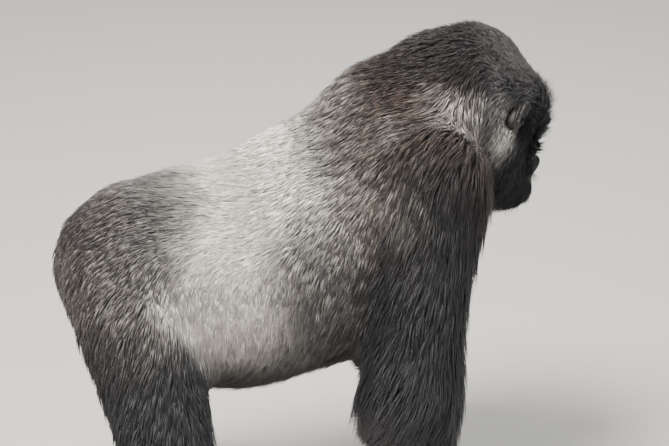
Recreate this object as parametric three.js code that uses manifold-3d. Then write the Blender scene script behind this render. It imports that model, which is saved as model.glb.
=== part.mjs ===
// A silverback mountain gorilla standing on its knuckles and soles, its head turned aside and lowered.
// Millimetres. +X is the way the body faces, +Y its left side, +Z up, and the floor is z = 0.
// Every solid is the outline out to the tips of the coat. A part is a closed shell drawn round a path
// through a field of blended muscles, and neighbouring parts meet in thin flat cuts.
import * as THREE from "three";
import { mergeVertices } from "three/addons/utils/BufferGeometryUtils.js";
import Module from "manifold-3d";

const wasm = await Module();
wasm.setup();

// ---------------------------------------------------------------- driving sizes
const HIP = { x: -272, y: 120, z: 608 };
const SHOULDER_WIDTH = 428;
const UPPER_ARM = 396; // bone lengths of a full-grown male
const FOREARM = 326;
const THIGH = 350;
const SHANK = 288;
const WRIST_HEIGHT = 158;
const ANKLE_HEIGHT = 84;
const EYEBALL = 12;
const HEAD_AT = { x: 428, y: 42, z: 872 }; // the middle of the head, just under the ears
const HEAD_TURN = { roll: 0, pitch: 28, yaw: 22 }; // degrees: nose down, and to the left
const HEAD_SIZE = 1.06; // of the sizes given in the head's own frame
const CUT = 0.4; // gap left by each cut between two parts

// Where each shoulder is, and each hand and foot stands: s is +1 on the left and -1 on the right.
const STANCE = {
  l: { s: 1, shoulder: [304, 838], wrist: [384, 262], ankle: [-190, 212], toeOut: 20 },
  r: { s: -1, shoulder: [282, 866], wrist: [256, 300], ankle: [-392, 240], toeOut: 26 },
};

// ---------------------------------------------------------------- fields
// A field gives the distance from a point to a surface, negative inside.
const at = (x, y, z) => new THREE.Vector3(x, y, z);
const degrees = THREE.MathUtils.degToRad;

/** An ellipsoid of the given half sizes, turned about its centre by degrees about X, Y and Z. */
function ball(centre, [rx, ry, rz], turn = [0, 0, 0]) {
  const back = new THREE.Quaternion()
    .setFromEuler(new THREE.Euler(...turn.map(degrees), "ZYX"))
    .invert();
  const p = at(0, 0, 0);
  return (point) => {
    p.copy(point).sub(centre).applyQuaternion(back);
    const near = Math.hypot(p.x / rx, p.y / ry, p.z / rz);
    const slope = Math.hypot(p.x / rx ** 2, p.y / ry ** 2, p.z / rz ** 2);
    return slope < 1e-9 ? -Math.min(rx, ry, rz) : (near * (near - 1)) / slope;
  };
}

/** A tapered rod with round ends, made thinner by the share `by` along the direction `across`. */
function rod(a, b, ra, rb, across = at(0, 1, 0), by = 1) {
  const axis = b.clone().sub(a);
  const length = axis.length();
  axis.divideScalar(length);
  const sine = (ra - rb) / length;
  const cosine = Math.sqrt(1 - sine * sine);
  const p = at(0, 0, 0);
  return (point) => {
    p.copy(point).sub(a);
    p.addScaledVector(across, p.dot(across) * (1 / by - 1));
    const along = p.dot(axis);
    const out = Math.sqrt(Math.max(p.lengthSq() - along * along, 0));
    const slide = along * cosine - out * sine;
    if (slide < 0) return (p.length() - ra) * by;
    if (slide > cosine * length) return (Math.hypot(out, along - length) - rb) * by;
    return (out * cosine + along * sine - ra) * by;
  };
}

/** Several fields blended into one over the given width. */
const join =
  (width, ...fields) =>
  (point) => {
    let d = fields[0](point);
    for (let i = 1; i < fields.length; i++) {
      const e = fields[i](point);
      const h = Math.max(width - Math.abs(d - e), 0) / width;
      d = Math.min(d, e) - (h * h * width) / 4;
    }
    return d;
  };

/** The field f seen through a matrix that places and sizes it. */
const placed = (matrix, f) => {
  const back = matrix.clone().invert();
  const size = matrix.getMaxScaleOnAxis();
  const p = at(0, 0, 0);
  return (point) => f(p.copy(point).applyMatrix4(back)) * size;
};

/** A field swollen by the width of a cut. */
const grown = (field) => (p) => field(p) - CUT;

/** The part of a field ahead of a plane, and for `spare` more behind it. */
const ahead = (field, point, normal, spare) => {
  const n = normal.clone().normalize();
  const p = at(0, 0, 0);
  return (q) => Math.max(field(q), -p.copy(q).sub(point).dot(n) - spare);
};

// ---------------------------------------------------------------- shells and cuts
const MARCH = 6; // step in millimetres while looking for a surface
const HALVINGS = 14;

/** How far from `from` along `ray` the field's surface lies. */
function reach(field, from, ray) {
  const p = at(0, 0, 0);
  const value = (t) => field(p.copy(from).addScaledVector(ray, t));
  let high = 0;
  while (value(high) < 0) high += MARCH;
  let low = Math.max(high - MARCH, 0);
  for (let i = 0; i < HALVINGS; i++) {
    const middle = (low + high) / 2;
    if (value(middle) < 0) low = middle;
    else high = middle;
  }
  return low;
}

/** A closed solid through rings of corners, from a point at its start to a point at its end. */
function skin(start, loops, end) {
  const sides = loops[0].length;
  const corners = [start, ...loops.flat(), end];
  const corner = (ring, j) => 1 + ring * sides + (j % sides);
  const last = corners.length - 1;
  const faces = [];
  for (let j = 0; j < sides; j++) {
    faces.push(0, corner(0, j), corner(0, j + 1));
    faces.push(last, corner(loops.length - 1, j + 1), corner(loops.length - 1, j));
    for (let i = 0; i + 1 < loops.length; i++) {
      faces.push(corner(i, j), corner(i + 1, j), corner(i, j + 1));
      faces.push(corner(i + 1, j), corner(i + 1, j + 1), corner(i, j + 1));
    }
  }
  const geometry = new THREE.BufferGeometry().setFromPoints(corners);
  geometry.setIndex(faces);
  return solid(geometry);
}

/** The directions of `sides` spokes square to `ahead`, the first of them towards `up`. */
function spokes(forward, up, sides) {
  const side = up.clone().cross(forward).normalize();
  const top = forward.clone().cross(side);
  return Array.from({ length: sides }, (_, j) => {
    const turn = (2 * Math.PI * j) / sides;
    return top.clone().multiplyScalar(Math.cos(turn)).addScaledVector(side, Math.sin(turn));
  });
}

/**
 * A closed shell on the field round a path of points: `rings` along it, `caps` more round each end, each
 * of `sides` corners. Its rings stand square to the path, turned so that a corner points towards `up`.
 */
function shell(field, points, { rings, caps, sides, up = at(0, 0, 1) }) {
  const path = new THREE.CatmullRomCurve3(points, false, "centripetal");
  const stops = [];
  for (let i = 1; i <= caps; i++) stops.push([0, 90 + 90 * (1 - i / caps)]);
  for (let i = 1; i < rings; i++) stops.push([i / rings, 90]);
  for (let i = 0; i < caps; i++) stops.push([1, 90 - (90 * i) / caps]);
  const cast = (from, ray) => from.clone().addScaledVector(ray, reach(field, from, ray));
  const loops = stops.map(([t, tilt]) => {
    const from = path.getPointAt(t);
    const forward = path.getTangentAt(t);
    return spokes(forward, up, sides).map((spoke) => {
      const ray = spoke.multiplyScalar(Math.sin(degrees(tilt)));
      return cast(from, ray.addScaledVector(forward, Math.cos(degrees(tilt))).normalize());
    });
  });
  const start = cast(path.getPointAt(0), path.getTangentAt(0).negate());
  return skin(start, loops, cast(path.getPointAt(1), path.getTangentAt(1)));
}

/** A closed geometry as a solid that can be joined and cut. */
function solid(geometry, matrix = new THREE.Matrix4()) {
  const bare = geometry.clone().applyMatrix4(matrix);
  bare.deleteAttribute("normal");
  bare.deleteAttribute("uv");
  const merged = mergeVertices(bare, 1e-3);
  const faces = [];
  for (let i = 0; i < merged.index.count; i += 3) {
    const face = [merged.index.getX(i), merged.index.getX(i + 1), merged.index.getX(i + 2)];
    if (new Set(face).size === 3) faces.push(...face);
  }
  return new wasm.Manifold(
    new wasm.Mesh({
      numProp: 3,
      vertProperties: new Float32Array(merged.attributes.position.array),
      triVerts: new Uint32Array(faces),
    }),
  );
}

const WIDE = 3000;

/** All space on the side of a plane that its normal points away from, less half a cut. */
function behind(point, normal) {
  const place = new THREE.Matrix4().makeRotationFromQuaternion(
    new THREE.Quaternion().setFromUnitVectors(at(0, 0, 1), normal.clone().normalize()),
  );
  const middle = point.clone().addScaledVector(normal.clone().normalize(), -(WIDE + CUT) / 2);
  return solid(new THREE.BoxGeometry(WIDE, WIDE, WIDE), place.setPosition(middle));
}

/** A solid's two sides of a plane, as [behind it, ahead of it]. */
const parted = (body, point, normal) => [
  body.intersect(behind(point, normal)),
  body.intersect(behind(point, normal.clone().negate())),
];

const onFloor = (body) => body.intersect(behind(at(0, 0, -CUT / 2), at(0, 0, -1)));

/** The largest piece of a solid that cutting may have left in several. */
const largest = (body) => body.decompose().reduce((a, b) => (b.volume() > a.volume() ? b : a));

/** Where a limb's middle joint lies between its ends, bent towards a direction. */
function middleJoint(start, end, first, second, towards) {
  const span = end.clone().sub(start);
  const length = span.length();
  span.divideScalar(length);
  const along = (first ** 2 - second ** 2 + length ** 2) / (2 * length);
  const out = Math.sqrt(Math.max(first ** 2 - along ** 2, 0));
  const aside = towards.clone().addScaledVector(span, -towards.dot(span)).normalize();
  return start.clone().addScaledVector(span, along).addScaledVector(aside, out);
}

// ---------------------------------------------------------------- named parts
const FUR = new THREE.MeshStandardMaterial({ color: 0x2a2624, roughness: 0.85, metalness: 0 });
const SILVER_FUR = new THREE.MeshStandardMaterial({ color: 0x8f8a86, roughness: 0.85, metalness: 0 });
const BARE_SKIN = new THREE.MeshStandardMaterial({ color: 0x1d1b1c, roughness: 0.5, metalness: 0 });
const EYE = new THREE.MeshStandardMaterial({ color: 0x2b1609, roughness: 0.08, metalness: 0 });
const NAIL = new THREE.MeshStandardMaterial({ color: 0x191513, roughness: 0.35, metalness: 0 });

const gorilla = new THREE.Group();

/** Adds a solid to the model as a named mesh. */
function part(name, body, material) {
  const { numProp, vertProperties, triVerts } = largest(body).getMesh();
  const corners = [];
  for (let i = 0; i < vertProperties.length; i += numProp)
    corners.push(vertProperties[i], vertProperties[i + 1], vertProperties[i + 2]);
  const geometry = new THREE.BufferGeometry();
  geometry.setAttribute("position", new THREE.Float32BufferAttribute(corners, 3));
  geometry.setIndex([...triVerts]);
  geometry.computeVertexNormals();
  const mesh = new THREE.Mesh(geometry, material);
  mesh.name = name;
  gorilla.add(mesh);
}

// ---------------------------------------------------------------- simple solids
const place = (matrix, x, y, z) => at(x, y, z).applyMatrix4(matrix);

/** An ellipsoid of the given half sizes round a point of a frame, turned by degrees in that frame. */
function lump(frame, middle, sizes, turn = [0, 0, 0], sides = 8) {
  const matrix = new THREE.Matrix4().compose(
    at(...middle),
    new THREE.Quaternion().setFromEuler(new THREE.Euler(...turn.map(degrees), "ZYX")),
    at(...sizes),
  );
  return solid(new THREE.SphereGeometry(1, sides, Math.round(sides * 0.7)), frame.clone().multiply(matrix));
}

const TUBE_SIDES = 6;
const ROUND = 0.75; // where the ring of a rounded end stands, and how wide, as a share of its radius

/** A round-ended tube through points given as [x, y, z, radius] in a frame. */
function tube(frame, points) {
  const middles = points.map(([x, y, z]) => place(frame, x, y, z));
  const side = place(frame, 0, 1, 0).sub(place(frame, 0, 0, 0));
  const heading = (i, j) => middles[j].clone().sub(middles[i]).normalize();
  const last = middles.length - 1;
  const first = heading(0, 1);
  const final = heading(last - 1, last);
  const ring = (middle, forward, radius) =>
    spokes(forward, side, TUBE_SIDES).map((spoke) => spoke.multiplyScalar(radius).add(middle));
  const tip = (i, forward, share) => middles[i].clone().addScaledVector(forward, points[i][3] * share);
  const loops = middles.map((middle, i) => {
    const before = heading(Math.max(i - 1, 0), Math.max(i, 1));
    const after = heading(Math.min(i, last - 1), Math.min(i + 1, last));
    return ring(middle, before.add(after).normalize(), points[i][3]);
  });
  loops.unshift(ring(tip(0, first, -ROUND), first, points[0][3] * ROUND));
  loops.push(ring(tip(last, final, ROUND), final, points[last][3] * ROUND));
  return skin(tip(0, first, -1), loops, tip(last, final, 1));
}

/** Cuts a bed for a nail into the tip of a finger or toe, and adds both. */
function digit(name, body, frame, middle, sizes, turn) {
  const bed = sizes.map((size) => size + CUT);
  part(name, body.subtract(lump(frame, middle, bed, turn, 6)), BARE_SKIN);
  part("nail_" + name, lump(frame, middle, sizes, turn, 6), NAIL);
}

// ---------------------------------------------------------------- head
// Head sizes are in the head's own frame: +X out of the face, +Y left, +Z up.
const headFrame = new THREE.Matrix4().compose(
  at(HEAD_AT.x, HEAD_AT.y, HEAD_AT.z),
  new THREE.Quaternion().setFromEuler(
    new THREE.Euler(degrees(HEAD_TURN.roll), degrees(HEAD_TURN.pitch), degrees(HEAD_TURN.yaw), "ZYX"),
  ),
  at(HEAD_SIZE, HEAD_SIZE, HEAD_SIZE),
);
const inHead = (x, y, z) => place(headFrame, x, y, z);
const EYE_AT = { x: 107, y: 33, z: 16 };
const EAR_AT = { x: -8, z: 34 };

/** The same shape on both sides of the middle. */
const pair = (make) => [make(1), make(-1)];

const nape = ball(at(-96, 0, 36), [84, 102, 116]);
function headField() {
  const skull = join(
    46,
    ball(at(-12, 0, 40), [114, 90, 90]),
    ball(at(-40, 0, 106), [100, 54, 78], [0, -8, 0]), // crest and the pad on it
    nape,
    ...pair((s) => ball(at(8, s * 58, 56), [84, 42, 74])), // temples
    ...pair((s) => ball(at(20, s * 72, -52), [72, 44, 84])), // cheeks
    ball(at(14, 0, -104), [90, 82, 58]), // jaw and the ruff under it
  );
  const face = join(
    22,
    ball(at(66, 0, 4), [62, 68, 62]),
    ...pair((s) => rod(at(116, 0, 46), at(98, s * 58, 42), 21, 18)), // brow
    rod(at(104, 0, 22), at(138, 0, -30), 14, 18), // bridge of the nose
    ball(at(138, 0, -42), [30, 38, 22]), // nostrils
    ball(at(102, 0, -82), [78, 58, 46], [0, 6, 0]), // muzzle
    ball(at(100, 0, -118), [50, 46, 30]), // chin
  );
  return join(34, skull, face);
}

// ---------------------------------------------------------------- head, neck and trunk
const neckRod = rod(at(262, 0, 868), inHead(-112, 0, 20), 160, 120);
const headAndNeck = join(50, placed(headFrame, headField()), neckRod);
const trunk = join(
  70,
  ball(at(-236, 0, 652), [150, 196, 150], [0, 6, 0]), // pelvis
  ...pair((s) => ball(at(-276, s * 92, 612), [112, 108, 138])), // buttocks
  ball(at(-120, 128, 690), [104, 88, 104]), // hip of the leg that is forward
  rod(at(-200, 0, 672), at(130, 0, 712), 126, 146), // back
  ball(at(-56, 0, 606), [262, 262, 200], [0, -4, 0]), // belly
  ball(at(140, 0, 678), [216, 250, 246], [0, -34, 0]), // rib cage
  ball(at(236, 0, 868), [132, 140, 108], [0, -34, 0]), // hump of the shoulder blades
  ...pair((s) => ball(at(256, s * 158, 840), [112, 104, 108])), // shoulder girdle
  neckRod,
  placed(headFrame, nape),
);

const NAPE = inHead(-84, 0, -10);
const NAPE_NORMAL = inHead(1, 0, 0.2).sub(inHead(0, 0, 0)).normalize();
const SPARE = 60; // how far a shell runs on past the plane it is cut at
const trunkShell = (field) => {
  const lower = [at(-280, 0, 620), at(-110, 0, 630), at(80, 0, 700)];
  const upper = [at(220, 0, 800), at(300, 10, 880), inHead(-110, 0, 10)];
  return shell(field, [...lower, ...upper], { rings: 18, caps: 3, sides: 20 });
};
const headShell = (field) => {
  const path = [inHead(20, 0, -96), inHead(8, 0, 14), inHead(-36, 0, 112)];
  const up = inHead(1, 0, 0).sub(inHead(0, 0, 0));
  return shell(ahead(field, NAPE, NAPE_NORMAL, SPARE), path, { rings: 20, caps: 5, sides: 28, up });
};

let [, head] = parted(headShell(headAndNeck), NAPE, NAPE_NORMAL);
const nearNape = NAPE.clone().addScaledVector(NAPE_NORMAL, -CUT);
const [, headRoom] = parted(headShell(grown(headAndNeck)), nearNape, NAPE_NORMAL);
const earRoom = [];
for (const [side, { s }] of Object.entries(STANCE)) {
  const eye = [EYE_AT.x, s * EYE_AT.y, EYE_AT.z];
  const socket = [EYE_AT.x + 16, s * (EYE_AT.y + 1), EYE_AT.z - 1];
  head = head
    .subtract(lump(headFrame, socket, [17, 20, 11], [0, 0, s * 14], 10))
    .subtract(lump(headFrame, eye, Array(3).fill(EYEBALL + CUT), [0, 0, 0], 10));
  part("eye_" + side, lump(headFrame, eye, Array(3).fill(EYEBALL), [0, 0, 0], 10), EYE);

  const temple = inHead(EAR_AT.x, 0, EAR_AT.z);
  const aside = inHead(EAR_AT.x, s, EAR_AT.z).sub(temple).normalize();
  const y = s * (reach(headAndNeck, temple, aside) / HEAD_SIZE - 3);
  const turn = [s * 8, 14, s * -24];
  const ear = lump(headFrame, [EAR_AT.x, y, EAR_AT.z], [20, 11, 30], turn, 10);
  const hollow = lump(headFrame, [EAR_AT.x + 6, y + s * 11, EAR_AT.z - 2], [11, 9, 19], turn, 7);
  const bed = lump(headFrame, [EAR_AT.x, y, EAR_AT.z], [20 + CUT, 11 + CUT, 30 + CUT], turn, 10);
  head = head.subtract(bed);
  earRoom.push(bed);
  part("ear_" + side, ear.subtract(hollow), BARE_SKIN);
}
part("head", head, FUR);

const wholeTrunk = trunkShell(trunk);
const trunkRoom = wholeTrunk.add(trunkShell(grown(trunk)));
const [behindNeck, neckEnd] = parted(wholeTrunk, at(300, 6, 900), at(0.74, 0.1, 0.66));
const [neck] = parted(neckEnd, NAPE, NAPE_NORMAL);
const [abdomen, chest] = parted(behindNeck, at(20, 0, 700), at(0.94, 0, 0.34));
part("neck", neck, FUR);
part("chest", chest.subtract(headRoom), FUR);
part("abdomen", abdomen, SILVER_FUR);

// ---------------------------------------------------------------- arms and hands
const FINGER_GAP = 34;
const FINGERS = ["index", "middle", "ring", "little"];

for (const [side, { s, shoulder: [x, z], wrist }] of Object.entries(STANCE)) {
  const shoulder = at(x, (s * SHOULDER_WIDTH) / 2, z);
  const frame = new THREE.Matrix4().makeRotationZ(degrees(s * -6)).setPosition(wrist[0], s * wrist[1], 0);
  const inHand = (x, y, z) => place(frame, x, s * y, z);
  const wristAt = inHand(0, 0, WRIST_HEIGHT);
  const elbow = middleJoint(shoulder, wristAt, UPPER_ARM, FOREARM, at(-1, s * 0.4, 0));
  const forward = inHand(1, 0, 0).sub(inHand(0, 0, 0));
  const arm = join(
    45,
    ball(shoulder.clone().add(at(-8, s * 2, -46)), [112, 86, 158]), // deltoid
    rod(shoulder, elbow, 94, 98),
    ball(elbow.clone().add(at(-46, s * 4, -24)), [74, 62, 84]), // long hair behind the elbow
    rod(elbow, wristAt, 98, 54, at(0, 1, 0), 0.92),
    rod(wristAt, inHand(20, 0, 82), 54, 62, forward, 0.62), // back of the hand and palm
  );
  const path = [shoulder, elbow, wristAt, inHand(20, 0, 82)];
  const armShell = (field) => shell(field, path, { rings: 14, caps: 3, sides: 12, up: forward });
  const whole = armShell(arm).subtract(wasm.Manifold.union([trunkRoom, headRoom, ...earRoom]));
  const [upperArm, below] = parted(whole, elbow, wristAt.clone().sub(shoulder));
  const [forearm, hand] = parted(below, wristAt.clone().add(at(0, 0, 10)), at(0, 0, -1));
  const knuckles = [inHand(26, 0, 76), inHand(0.62, 0, -0.78).sub(inHand(0, 0, 0))];
  const [palm] = parted(hand, ...knuckles);
  part("upper_arm_" + side, upperArm, FUR);
  part("forearm_" + side, forearm, FUR);
  part("hand_" + side, palm, BARE_SKIN);
  FINGERS.forEach((name, i) => {
    const y = s * (i - 1.5) * FINGER_GAP;
    const long = 1 - 0.08 * Math.abs(i - 1.2);
    const points = [
      [6, y * 0.94, 94, 16],
      [26 + 40 * long, y, 33, 16.8],
      [26 + 44 * long, y, 14.5, 16.6],
      [26 + 10 * long, y, 13, 16],
      [26 - 8 * long, y, 19, 14.5],
      [26 - 18 * long, y, 34, 12],
    ];
    const [, finger] = parted(onFloor(tube(frame, points)), ...knuckles);
    digit(name + "_finger_" + side, finger, frame, [26 - 22 * long, y, 21], [9, 8, 3], [0, 56, 0]);
  });
  const thumb = tube(frame, [
    [-2, -s * 44, 120, 20],
    [8, -s * 83, 92, 16],
    [16, -s * 94, 66, 13.5],
  ]).subtract(armShell(grown(arm)));
  digit("thumb_" + side, thumb, frame, [28, -s * 97, 60], [3, 7, 8], [0, 24, 0]);
}

// ---------------------------------------------------------------- legs and feet
const TOES = ["second", "third", "fourth", "little"];
const TOE_GAP = 27;

for (const [side, { s, ankle: [x, y], toeOut }] of Object.entries(STANCE)) {
  const hip = at(HIP.x, s * HIP.y, HIP.z);
  const frame = new THREE.Matrix4().makeRotationZ(degrees(s * toeOut)).setPosition(x, s * y, 0);
  const inFoot = (x, y, z) => place(frame, x, s * y, z);
  const ankleAt = inFoot(0, 0, ANKLE_HEIGHT);
  const knee = middleJoint(hip, ankleAt, THIGH, SHANK, at(1, s * 1.15, 0));
  const calf = knee.clone().lerp(ankleAt, 0.4).add(at(-26, 0, 6));
  const leg = join(
    45,
    rod(hip, knee, 126, 86),
    rod(knee, ankleAt, 84, 52),
    ball(calf, [72, 74, 110], [0, 20, 0]),
    ball(inFoot(-58, 0, 44), [46, 40, 48]), // heel
    rod(inFoot(-16, 0, 42), inFoot(94, 2, 25), 48, 56, at(0, 0, 1), 0.54),
  );
  const kneePlane = [knee, ankleAt.clone().sub(hip)];
  const ankleCut = [ankleAt, inFoot(0, 0, 0).sub(inFoot(0.38, 0, 0.92))];
  const flip = ([point, normal]) => [point, normal.clone().negate()];
  const size = { rings: 7, caps: 3, sides: 12, up: at(1, 0, 0) };
  const aboveKnee = [hip, knee.clone().lerp(ankleAt, 0.1)];
  const thighShell = shell(ahead(leg, ...flip(kneePlane), SPARE), aboveKnee, size);
  const [, thigh] = parted(thighShell, ...flip(kneePlane));
  const belowKnee = [knee.clone().lerp(hip, 0.1), inFoot(-4, 0, 60)];
  const shankShell = shell(ahead(leg, ...kneePlane, SPARE), belowKnee, size);
  const overToes = [inFoot(102, 0, 60), inFoot(1, 0, -1).sub(inFoot(0, 0, 0))];
  const [clearOfToes] = parted(shankShell, ...overToes);
  const [shank] = parted(parted(clearOfToes, ...kneePlane)[1], ...ankleCut);
  part("thigh_" + side, thigh.subtract(trunkRoom), FUR);
  part("shank_" + side, shank.subtract(trunkRoom), FUR);
  const toeRoots = [inFoot(102, 0, 0), inFoot(1, 0, 0).sub(inFoot(0, 0, 0))];
  const footShell = (field) => {
    const path = [inFoot(-62, 0, 40), inFoot(0, 0, 38), inFoot(96, 0, 26)];
    return shell(ahead(field, ...ankleCut, SPARE), path, { rings: 8, caps: 2, sides: 12 });
  };
  const [sole] = parted(onFloor(footShell(leg)), ...toeRoots);
  part("foot_" + side, parted(sole, ...ankleCut)[1], BARE_SKIN);
  TOES.forEach((name, i) => {
    const y = s * (i - 1.3) * TOE_GAP;
    const long = 1 - 0.1 * i;
    const points = [
      [84, y, 29, 13.5],
      [104 + 22 * long, y * 1.04, 24, 13.5],
      [104 + 42 * long, y * 1.08, 14, 13],
      [104 + 54 * long, y * 1.1, 11.5, 12],
    ];
    const [, toe] = parted(onFloor(tube(frame, points)), ...toeRoots);
    digit(name + "_toe_" + side, toe, frame, [106 + 55 * long, y * 1.1, 20.5], [8, 7.5, 3], [0, 28, 0]);
  });
  const bigToe = tube(frame, [
    [24, -s * 32, 30, 26],
    [78, -s * 76, 23, 24],
    [112, -s * 90, 18, 19],
  ]).subtract(footShell(grown(leg)));
  digit("great_toe_" + side, onFloor(bigToe), frame, [116, -s * 91, 33], [12, 11, 4], [0, 22, -s * 20]);
}

// ---------------------------------------------------------------- placing
// The origin is at the middle of the box round the animal, on the floor.
const box = new THREE.Box3().setFromObject(gorilla);
gorilla.position.set(-(box.min.x + box.max.x) / 2, -(box.min.y + box.max.y) / 2, 0);

export default gorilla;
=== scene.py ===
import math

import bmesh
import bpy
import numpy as np
import openvdb
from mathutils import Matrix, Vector
from mathutils.bvhtree import BVHTree
from mathutils.kdtree import KDTree


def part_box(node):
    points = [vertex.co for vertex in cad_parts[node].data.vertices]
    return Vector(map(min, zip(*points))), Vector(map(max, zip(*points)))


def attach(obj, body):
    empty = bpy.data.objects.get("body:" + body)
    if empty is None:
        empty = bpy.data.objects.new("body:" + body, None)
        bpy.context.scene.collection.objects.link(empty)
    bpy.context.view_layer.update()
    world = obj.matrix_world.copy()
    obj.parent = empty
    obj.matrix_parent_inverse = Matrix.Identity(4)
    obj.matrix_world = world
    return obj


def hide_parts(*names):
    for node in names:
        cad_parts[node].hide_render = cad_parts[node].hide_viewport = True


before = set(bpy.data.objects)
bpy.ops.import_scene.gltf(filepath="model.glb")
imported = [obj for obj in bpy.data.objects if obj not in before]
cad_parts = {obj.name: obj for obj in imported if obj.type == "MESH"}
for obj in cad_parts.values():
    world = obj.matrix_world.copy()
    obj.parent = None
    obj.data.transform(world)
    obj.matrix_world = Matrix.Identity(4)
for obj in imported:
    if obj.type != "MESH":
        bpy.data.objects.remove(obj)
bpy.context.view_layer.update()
MM = 0.001
SEED = 7

# ---- names of the frame's nodes
SIDES = {"l": 1, "r": -1}
FINGERS = ["index_finger", "middle_finger", "ring_finger", "little_finger", "thumb"]
TOES = ["second_toe", "third_toe", "fourth_toe", "little_toe", "great_toe"]
DIGITS = FINGERS + TOES
PAIRED = ["ear", "upper_arm", "forearm", "hand", "thigh", "shank", "foot"] + DIGITS
FLESH = ["head", "neck", "chest", "abdomen"] + [f"{part}_{side}" for part in PAIRED for side in SIDES]


def kind_of(node):
    """hand_l is a hand: a node's name without its side."""
    return node[:-2] if node[-2:] in ("_l", "_r") else node


def middle(node):
    low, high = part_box(node)
    return np.array((low + high) / 2)


# ---- the head's own frame
# Head sizes are in millimetres in the head's own frame: +X out of the face, +Y left, +Z up.
EYE = np.array([107.0, 33.0, 16.0])
EAR = np.array([-8.0, 0.0, 34.0])
EYEBALL = 12.0

ear_middle = (middle("ear_l") + middle("ear_r")) / 2
eye_middle = (middle("eye_l") + middle("eye_r")) / 2
eye_span = middle("eye_l") - middle("eye_r")
HEAD_UNIT = np.linalg.norm(eye_span) / (2 * EYE[1])  # metres to one millimetre of the head's own sizes
head_left = eye_span / np.linalg.norm(eye_span)
ahead = eye_middle - ear_middle
ahead -= ahead.dot(head_left) * head_left
ahead /= np.linalg.norm(ahead)
rise = math.atan2(EYE[2] - EAR[2], EYE[0] - EAR[0])
above = np.cross(ahead, head_left)
cosine, sine = math.cos(rise), math.sin(rise)
HEAD_AXES = np.stack([cosine * ahead - sine * above, head_left, sine * ahead + cosine * above])
HEAD_ORIGIN = eye_middle - np.array([EYE[0], 0, EYE[2]]) @ HEAD_AXES * HEAD_UNIT


def in_head(points):
    """Points of the frame in the head's own millimetres."""
    return (points - HEAD_ORIGIN) @ HEAD_AXES.T / HEAD_UNIT


def from_head(points):
    return np.asarray(points, float) @ HEAD_AXES * HEAD_UNIT + HEAD_ORIGIN


# ---- numbers
def smooth(x, low, high):
    """0 below low, 1 above high, and a smooth rise between."""
    t = np.clip((x - low) / (high - low), 0, 1)
    return t * t * (3 - 2 * t)


def band(x, low, high, soft):
    """1 from low to high, with soft ends."""
    return smooth(x, low - soft, low + soft) * (1 - smooth(x, high - soft, high + soft))


def bump_at(points, centre, sizes):
    """1 at a centre, falling to 0 at the given half sizes."""
    return 1 - smooth(np.linalg.norm((points - np.array(centre)) / sizes, axis=1), 0, 1)


def unit(vectors):
    return vectors / np.maximum(np.linalg.norm(vectors, axis=-1, keepdims=True), 1e-12)


def lattice(cell, seed):
    """A number from -1 to 1 for each cell of a grid."""
    n = cell[..., 0] * 374761393 + cell[..., 1] * 668265263 + cell[..., 2] * 1440662683 + seed * 974634777
    n = ((n ^ (n >> 13)) * 1274126177) & 0xFFFFFFFF
    return ((n ^ (n >> 16)) & 0xFFFF) / 32767.5 - 1


def noise(points, size, seed=0):
    """Smooth noise from -1 to 1, whose bumps are `size` across."""
    scaled = points / size
    cell = np.floor(scaled).astype(np.int64)
    t = scaled - cell
    t = t * t * (3 - 2 * t)
    total = 0
    for corner in np.ndindex(2, 2, 2):
        weight = np.prod(np.where(corner, t, 1 - t), axis=-1)
        total = total + weight * lattice(cell + np.array(corner), seed)
    return total


def noise3(points, size, seed=0):
    return np.stack([noise(points, size, seed + 17 * k) for k in range(3)], -1)


# ---- meshes
def vectors_of(mesh, key="co"):
    """The places of a mesh's vertices, or their normals."""
    found = np.empty(len(mesh.vertices) * 3, np.float32)
    mesh.vertices.foreach_get(key, found)
    return found.reshape(-1, 3).astype(float)


def linked(name, data):
    """A new object in the scene."""
    made = bpy.data.objects.new(name, data)
    bpy.context.scene.collection.objects.link(made)
    return made


def smoothed(made):
    """The object, with its faces shaded smooth."""
    made.data.polygons.foreach_set("use_smooth", np.ones(len(made.data.polygons), bool))
    return made


def new_object(name, points, faces):
    mesh = bpy.data.meshes.new(name)
    mesh.from_pydata(points.tolist(), [], faces)
    mesh.update()
    return linked(name, mesh)


def triangles_object(name, points, triangles):
    """An object from arrays of points and triangles, made without a Python list of either."""
    mesh = bpy.data.meshes.new(name)
    mesh.vertices.add(len(points))
    mesh.vertices.foreach_set("co", points.astype(np.float32).ravel())
    mesh.loops.add(triangles.size)
    mesh.loops.foreach_set("vertex_index", triangles.astype(np.int32).ravel())
    mesh.polygons.add(len(triangles))
    mesh.polygons.foreach_set("loop_start", np.arange(0, triangles.size, 3, dtype=np.int32))
    mesh.polygons.foreach_set("loop_total", np.full(len(triangles), 3, np.int32))
    mesh.update(calc_edges=True)
    return smoothed(linked(name, mesh))


def set_attribute(mesh, name, values):
    """A number for each vertex, which the materials read by name."""
    layer = mesh.attributes.new(name, "FLOAT", "POINT")
    layer.data.foreach_set("value", np.asarray(values, np.float32))


def applied(made):
    """The mesh of an object with its modifiers applied, in a new object that takes its place."""
    graph = bpy.context.evaluated_depsgraph_get()
    mesh = bpy.data.meshes.new_from_object(made.evaluated_get(graph))
    name = made.name
    bpy.data.objects.remove(made)
    return linked(name, mesh)


def flesh_shell(names, swell):
    """The named solids, each grown by `swell`, in one bmesh."""
    whole = bmesh.new()
    for name in names:
        one = bmesh.new()
        one.from_mesh(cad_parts[name].data)
        bmesh.ops.remove_doubles(one, verts=one.verts, dist=1e-5)
        one.normal_update()
        grown = [vert.co + vert.normal * swell for vert in one.verts]
        for vert, place in zip(one.verts, grown):
            vert.co = place
        scratch = bpy.data.meshes.new("scratch")
        one.to_mesh(scratch)
        one.free()
        whole.from_mesh(scratch)
        bpy.data.meshes.remove(scratch)
    return whole


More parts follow.
